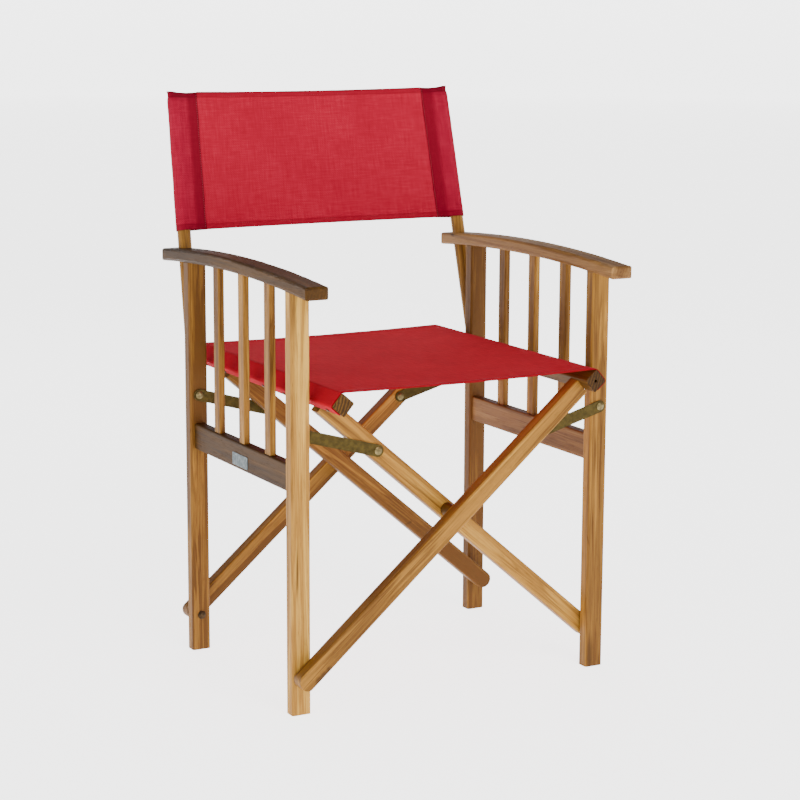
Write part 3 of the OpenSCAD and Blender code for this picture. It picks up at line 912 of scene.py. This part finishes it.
@dataclass
class SlungSeat:
    """The seat sheet: across from rail to rail, over each rail's top corner and down its outer face."""

    low: Vector
    high: Vector
    rail_x: float
    rail_z: float
    rail_turn: float = math.radians(40.7)
    rail_half: float = 12.5 * MM
    rail_round: float = 2.5 * MM
    cloth: float = 1.3 * MM
    skin: float = 1.0 * MM  # middle of the cloth above the rail
    sag: float = 3.5 * MM
    end_pull: float = 0.28  # share of the sag lost at the front and rear edges
    end_share: float = 0.16  # share of the depth over which it is lost
    rumple: float = 0.35 * MM
    hem: float = 13 * MM
    hem_lift: float = 0.7 * MM
    seam_inset: float = 2.5 * MM  # stitching to the hem's inner edge
    thread_lift: float = 0.1 * MM
    tail: float = 16 * MM  # turned in under each rail
    end_gap: float = 1 * MM  # rail's end to the cloth's edge
    grip: float = 0.012  # a distance from the rail's middle, in metres
    flat_steps: int = 40
    face_steps: int = 5
    tail_steps: int = 4
    corner_steps: int = 8
    rows: int = 120

    def outline(self) -> list[Vector]:
        """Cross-section of the right half, from the middle of the seat round the right rail.

        Returns:
            Points in the X-Z plane, in metres.
        """
        turn, half = self.rail_turn, self.rail_half + self.skin
        out = Vector((math.cos(turn), math.sin(turn)))
        up = Vector((-math.sin(turn), math.cos(turn)))
        centre = Vector((self.rail_x, self.rail_z))
        bend = self.rail_round + self.skin

        def corner(sx: int, sy: int, a0: float, a1: float) -> list[Vector]:
            """Points round one rounded corner of the rail, from angle a0 to a1."""
            middle = centre + out * (sx * (half - bend)) + up * (sy * (half - bend))
            angles = [a0 + (a1 - a0) * k / self.corner_steps for k in range(self.corner_steps + 1)]
            return [middle + out * (bend * math.cos(a)) + up * (bend * math.sin(a)) for a in angles]

        top = corner(1, 1, math.pi / 2 - turn, 0.0)
        side = corner(1, -1, 0.0, -math.pi / 2)
        end = side[-1] - out * self.tail
        flat = [Vector((top[0].x * k / self.flat_steps, top[0].y)) for k in range(self.flat_steps)]
        face = [top[-1].lerp(side[0], k / self.face_steps) for k in range(1, self.face_steps)]
        under = [side[-1].lerp(end, k / self.tail_steps) for k in range(1, self.tail_steps + 1)]
        return flat + top + face + side + under

    def build(self, cloth: bpy.types.Material, stitches: StitchRow, thread: bpy.types.Material) -> None:
        """Builds the sheet, its hems and its stitching.

        Args:
            cloth: the canvas.
            stitches: the stitch maker.
            thread: the thread's material.
        """
        half = self.outline()
        path = [Vector((-p.x, p.y)) for p in reversed(half[1:])] + half
        run = list(accumulate(((b - a).length for a, b in zip(path, path[1:])), initial=0.0))
        width, length = run[-1], self.high.y - self.low.y - 2 * self.end_gap
        front = self.low.y + self.end_gap
        top_x = half[self.flat_steps].x

        def at(i: int, v: float) -> Vector:
            """Point of the sheet at path point i and share v of its length."""
            p = path[i]
            y = front + v * length
            drop = lift = 0.0
            if abs(p.x) < top_x:
                edge = min(v, 1 - v) * length
                lift = self.hem_lift * (1 - smooth(edge, self.hem - 1.2 * MM, self.hem + 0.4 * MM))
            if abs(p.x) < top_x and i not in (0, len(path) - 1):
                bow = 1 - (p.x / top_x) * (p.x / top_x)
                pull = 1.0 - self.end_pull * (1 - smooth(min(v, 1 - v), 0.0, self.end_share))
                drop = self.sag * bow * pull + self.rumple * wobble(p.x * 40, y * 30, 1.3) * bow
            return Vector((p.x, y, p.y - drop + lift))

        sheet = cloth_grid("seat_sheet", run, self.rows, at, length)
        thicken(sheet, self.cloth)
        put_on(sheet, cloth)

        above = Vector((0, 0, self.cloth / 2 + self.thread_lift))
        inset = self.hem - self.seam_inset
        inner = [i for i, p in enumerate(path) if abs(p.x) < top_x]
        lines = [[at(i, v) + above for i in inner] for v in (inset / length, (length - inset) / length)]
        sewn = stitches.sew("seat_stitching", lines, thread)
        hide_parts("seat_canvas")
        for piece in (sheet, sewn):
            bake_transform(piece)
        LOG.info("seat sheet %.3f x %.3f m", width, length)


# -------- canvas back


@dataclass
class CanvasBack:
    """The back: a panel between two sewn sleeves that slide over the leaning posts."""

    base: Vector
    lean: float = POST_LEAN
    toe: float = POST_TOE
    low_z: float = 0.665
    high_z: float = 0.880
    top_gap: float = 2.2 * MM  # along the lean, room for the pinched corners
    post_x: float = 0.24861
    post_r: float = 10.5 * MM
    slack: float = 1.25 * MM  # middle of the sleeve's cloth off the post
    ply: float = 0.7 * MM  # half of the gap between a sleeve's two layers at the seam
    cloth: float = 1.2 * MM
    seam_x: float = 0.2095
    post_end: float = 13 * MM  # empty top of a sleeve
    pinch: float = 0.88  # share of its depth that the empty top loses
    flare: float = 2.4 * MM
    drawn_in: float = 1.2 * MM
    peak: float = 1.6 * MM
    hollow: float = 1.2 * MM
    belly: float = 2.6 * MM  # the panel's middle behind the seams
    hem_lift: float = 0.8 * MM
    hem_seam: float = 8.0 * MM
    crease_x: float = 2 * MM
    crease_wide: float = 2.5 * MM
    crease_deep: float = 0.7 * MM
    gather: Triple = (1.0, -0.075, 0.0)
    keep: float = 0.371
    round_steps: int = 29
    lead_steps: int = 6

    def point(self, x: float, s: float, n: float) -> Vector:
        """Point at x across, s up the lean and n before the posts' plane; x closes in with height."""
        x = x * (1 - s * math.tan(self.toe) / self.post_x)
        up = Vector((0, math.sin(self.lean), math.cos(self.lean)))
        front = Vector((0, -math.cos(self.lean), math.sin(self.lean)))
        return self.base + Vector((x, 0, 0)) + up * s + front * n

    def span(self) -> tuple[float, float]:
        """Lower and upper end of the canvas along the lean."""
        c = math.cos(self.lean)
        return (self.low_z - self.base.z) / c, (self.high_z - self.base.z) / c - self.top_gap

    def loop(self) -> list[tuple[float, float]]:
        """Section of a sleeve: from the seam, round the post and back to the seam.

        Returns:
            (x, n) points in metres for the right sleeve.
        """
        r = self.post_r + self.slack
        start = math.pi - math.acos(r / (self.post_x - self.seam_x))
        angles = np.linspace(start, -start, self.round_steps)
        front = [(self.post_x + r * math.cos(a), r * math.sin(a)) for a in angles]

        def straight(a: Sequence[float], b: Sequence[float], steps: range) -> list[tuple[float, ...]]:
            """Points from a to b at some of the lead's steps."""
            return [tuple(p + (q - p) * k / self.lead_steps for p, q in zip(a, b)) for k in steps]

        lead = straight((self.seam_x, self.ply), front[0], range(self.lead_steps))
        back = straight(front[-1], (self.seam_x, -self.ply), range(1, self.lead_steps + 1))
        return lead + front + back

    def sleeve(self, side: int, name: str, cloth: bpy.types.Material) -> tuple[bpy.types.Object, float]:
        """Builds one sleeve, open at the foot and pinched shut above the post.

        Args:
            side: -1 for left, 1 for right.
            name: the piece's name.
            cloth: the canvas.

        Returns:
            The sleeve and its flat width.
        """
        section = self.loop()
        s0, s1 = self.span()
        run = list(accumulate((math.dist(a, b) for a, b in zip(section, section[1:])), initial=0.0))

        def at(i: int, v: float) -> Vector:
            """Point of the sleeve at section point i and share v of its height."""
            x, n = section[i]
            s = s0 + v * (s1 - s0)
            shut = 1 - smooth(s1 - s, 0.5 * MM, self.post_end + 1 * MM)
            flared = 1 - smooth(s1 - s, 0.5 * MM, 6 * MM)
            tuck = (x - self.seam_x) / (self.post_x + self.post_r - self.seam_x)
            x = x + (self.flare * flared - self.drawn_in * shut) * tuck
            x = x + 0.35 * MM * wobble(i * 0.35, s * 60, 2.0 + side) * tuck
            n = n * (1 - self.pinch * shut) + 0.25 * MM * wobble(i * 0.5, s * 45, 5.0)
            rise = self.peak * shut * smooth(tuck, 0.6, 0.95)
            return self.point(side * x, s + rise - self.hollow * shut * (1 - abs(2 * tuck - 0.7)), n)

        piece = cloth_grid(name, run, 60, at, s1 - s0)
        if side < 0:
            piece.data.flip_normals()
        thicken(piece, self.cloth)
        put_on(piece, cloth)
        return piece, run[-1]

    def panel(self, cloth: bpy.types.Material) -> bpy.types.Object:
        """Builds the panel between the seams, with its top and bottom hems.

        Args:
            cloth: the canvas.

        Returns:
            The panel.
        """
        s0, s1 = self.span()
        length = s1 - s0
        columns, rows = 120, 66

        def at(i: int, v: float) -> Vector:
            """Point of the panel at column i and share v of its height."""
            x = (2 * (i / columns) - 1) * (self.seam_x + 1.0 * MM)
            s = s0 + v * length
            t = x / self.seam_x
            bow = 1 - t * t
            edge = min(v, 1 - v) * length
            hem = self.hem_lift * (1 - smooth(edge, 9.5 * MM, 11.5 * MM))
            offside = (x - self.crease_x) / self.crease_wide
            crease = -self.crease_deep * math.exp(-(offside ** 2)) * smooth(v, 0.86, 0.93)
            dip = -1.6 * MM * bow * smooth(v, 0.86, 1.0) + 0.8 * MM * bow * (1 - smooth(v, 0.0, 0.1))
            back = -self.belly * (bow * (1 - (2 * v - 1) ** 2 * 0.5))
            back = back + 0.45 * MM * wobble(x * 22, s * 26, 0.4) * (1 - t ** 6)
            return self.point(x, s + dip, back + hem + crease + 0.9 * MM)

        run = [i / columns * (2 * self.seam_x) for i in range(columns + 1)]
        piece = cloth_grid("back_panel", run, rows, at, length)
        thicken(piece, self.cloth)
        put_on(piece, cloth)
        return piece

    def hem_line(self, s: float) -> list[Vector]:
        """Line of stitching along a hem.

        Args:
            s: its place up the lean.

        Returns:
            Points just in front of the panel.
        """
        across = np.linspace(-self.seam_x, self.seam_x, 60)
        depths = [1.9 * MM - self.belly * (1 - (x / self.seam_x) ** 2) * 0.55 for x in across]
        return [self.point(x, s, n) for x, n in zip(across, depths)]

    def build(
        self,
        panel_cloth: bpy.types.Material,
        sleeve_cloth: bpy.types.Material,
        stitches: StitchRow,
        thread: bpy.types.Material,
    ) -> None:
        """Builds the whole back with its stitching.

        Args:
            panel_cloth: the panel's canvas.
            sleeve_cloth: the sleeves' canvas.
            stitches: the stitch maker.
            thread: the thread's material.
        """
        s0, s1 = self.span()
        width, length = 2 * self.seam_x, s1 - s0
        panel = self.panel(panel_cloth)
        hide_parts("back_canvas")
        lines = [self.hem_line(s0 + up) for up in (self.hem_seam, length - self.hem_seam)]
        rows = stitches.sew("back_hem_stitching", lines, thread)
        middle = self.point(0.0, (s0 + s1) / 2, 0.0)
        for piece in (panel, rows):
            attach(piece, "left_side")
            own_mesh(piece)
        LOG.info("back panel %.3f x %.3f m", width, length)
        for side, body, name in ((-1, "left_side", "left"), (1, "right_side", "right")):
            sleeve, wide = self.sleeve(side, f"{name}_sleeve", sleeve_cloth)
            x = side * (self.seam_x + 2.2 * MM)
            seam = [self.point(x, s, 2.1 * MM) for s in np.linspace(s0 + 2 * MM, s1 - 2 * MM, 40)]
            sewn = stitches.sew(f"{name}_sleeve_stitching", [seam], thread)
            for piece in (sleeve, sewn):
                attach(piece, body)
            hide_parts("back_canvas")
            LOG.info("%s sleeve %.3f x %.3f m", name, wide, length)


# -------- studio


@dataclass(frozen=True)
class Lamp:
    """One square soft light: where it stands, its side in metres, its watts and its colour."""

    name: str
    place: Triple
    size: float
    power: float
    tint: Triple


LAMPS = (
    Lamp("key", (0.2, -3.0, 2.4), 1.6, 60.0, (1.0, 0.985, 0.96)),
    Lamp("fill", (-2.8, -1.0, 1.8), 2.0, 16.0, (0.97, 0.985, 1.0)),
    Lamp("rim", (0.6, 2.6, 2.4), 1.8, 20.0, (1.0, 1.0, 1.0)),
)


@dataclass
class Studio:
    """Pale floor, soft lights and the camera."""

    azimuth: float = -28.487
    elevation: float = 10.715
    roll: float = 0.252
    distance: float = 3.41695
    lens: float = 98.9
    target: Triple = (0.01151, -0.02637, 0.41189)
    centre: Triple = (0.0, 0.0, 0.45)
    sky: float = 0.55
    glow: float = 3.0
    flat: float = 18.0
    cove: float = 2.6
    spokes: int = 72
    flat_rings: int = 4
    cove_rings: int = 12

    def floor(self) -> None:
        """Lays the pale floor, a disc that curves up at its rim."""
        g = Graph("pale_floor")
        cloud = g.noise(g.placed(), (3, 3, 3), 2.0)
        paint = g.finish(
            Base_Color=g.mix(cloud, (0.93, 0.93, 0.93), (0.96, 0.96, 0.96)),
            Roughness=0.9,
            Specular_IOR_Level=0.1,
            Emission_Color=(1.0, 1.0, 1.0, 1.0),
            Emission_Strength=self.glow,
        )
        count = self.spokes
        angles = [2 * math.pi * k / count for k in range(count)]
        rises = [math.pi / 2 * k / self.cove_rings for k in range(1, self.cove_rings + 1)]
        profile = [(self.flat * k / self.flat_rings, 0.0) for k in range(1, self.flat_rings + 1)]
        profile += [(self.flat + self.cove * math.sin(a), self.cove * (1 - math.cos(a))) for a in rises]
        points = [(0.0, 0.0, 0.0)]
        for radius, height in profile:
            points += [(radius * math.cos(a), radius * math.sin(a), height) for a in angles]
        faces = [(0, 1 + k, 1 + (k + 1) % count) for k in range(count)]
        for ring in range(len(profile) - 1):
            a, b = 1 + ring * count, 1 + (ring + 1) * count
            faces += [(a + k, b + k, b + (k + 1) % count, a + (k + 1) % count) for k in range(count)]
        ground = make_mesh("floor", points, faces)
        put_on(ground, paint)

    def lamp(self, lamp: Lamp) -> None:
        """Adds one light, turned towards the chair.

        Args:
            lamp: what it is and where it stands.
        """
        light = bpy.data.lights.new(lamp.name, "AREA")
        light.shape = "SQUARE"
        light.size = lamp.size
        light.energy = lamp.power
        light.color = lamp.tint
        thing = bpy.data.objects.new(lamp.name, light)
        thing.location = lamp.place
        aim = Vector(self.centre) - Vector(lamp.place)
        thing.rotation_euler = aim.to_track_quat("-Z", "Y").to_euler()
        bpy.context.scene.collection.objects.link(thing)

    def light(self) -> None:
        """Sets the sky and the lamps."""
        world = bpy.data.worlds.new("soft_sky")
        world.use_nodes = True
        back = world.node_tree.nodes["Background"]
        back.inputs[0].default_value = (1.0, 1.0, 1.0, 1.0)
        back.inputs[1].default_value = self.sky
        bpy.context.scene.world = world
        for lamp in LAMPS:
            self.lamp(lamp)

    def camera(self) -> None:
        """Places the camera."""
        a, e, r = (math.radians(v) for v in (self.azimuth, self.elevation, self.roll))
        away = Vector((math.sin(a) * math.cos(e), -math.cos(a) * math.cos(e), math.sin(e)))
        eye = Vector(self.target) + away * self.distance
        right = Vector((math.cos(a), math.sin(a), 0.0))
        up = right.cross(-away)
        x_axis = math.cos(r) * right + math.sin(r) * up
        y_axis = -math.sin(r) * right + math.cos(r) * up
        turn = Matrix((x_axis, y_axis, away)).transposed().to_4x4()
        lens = bpy.data.cameras.new("camera")
        lens.sensor_width = 36.0
        lens.lens = self.lens
        lens.clip_end = 400.0
        thing = bpy.data.objects.new("camera", lens)
        thing.matrix_world = Matrix.Translation(eye) @ turn
        bpy.context.scene.collection.objects.link(thing)
        bpy.context.scene.camera = thing


def main() -> None:
    """Builds the chair's looks in order."""
    logging.basicConfig(level=logging.INFO, format="%(name)s: %(message)s")
    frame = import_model()
    nodes = frame["nodes"]
    studio = Studio()
    studio.camera()
    WoodenFrame().dress(nodes)
    Metalwork().dress(nodes)
    stitches, thread = StitchRow(), THREAD.material()
    low, high = (Vector(corner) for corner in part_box("seat_canvas"))
    rail_low, rail_high = (Vector(corner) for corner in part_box("right_seat_rail"))
    rail_x, rail_z = (rail_low.x + rail_high.x) / 2, (rail_low.z + rail_high.z) / 2
    seat = SlungSeat(low=low, high=high, rail_x=rail_x, rail_z=rail_z)
    seat.build(LIT_SEAT_CLOTH.material(), stitches, thread)
    shift = sum(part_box("left_armrest")[k][1] for k in (0, 1)) / 2 - ARMREST_Y
    back = CanvasBack(base=Vector((0.0, POST_FOOT_Y + shift, POST_FOOT_Z)))
    back.build(BACK_CLOTH.material(), SHADED_SLEEVE_CLOTH.material(), stitches, thread)
    studio.floor()
    studio.light()
    LOG.info("pieces done")


if __name__ == "__main__":
    main()
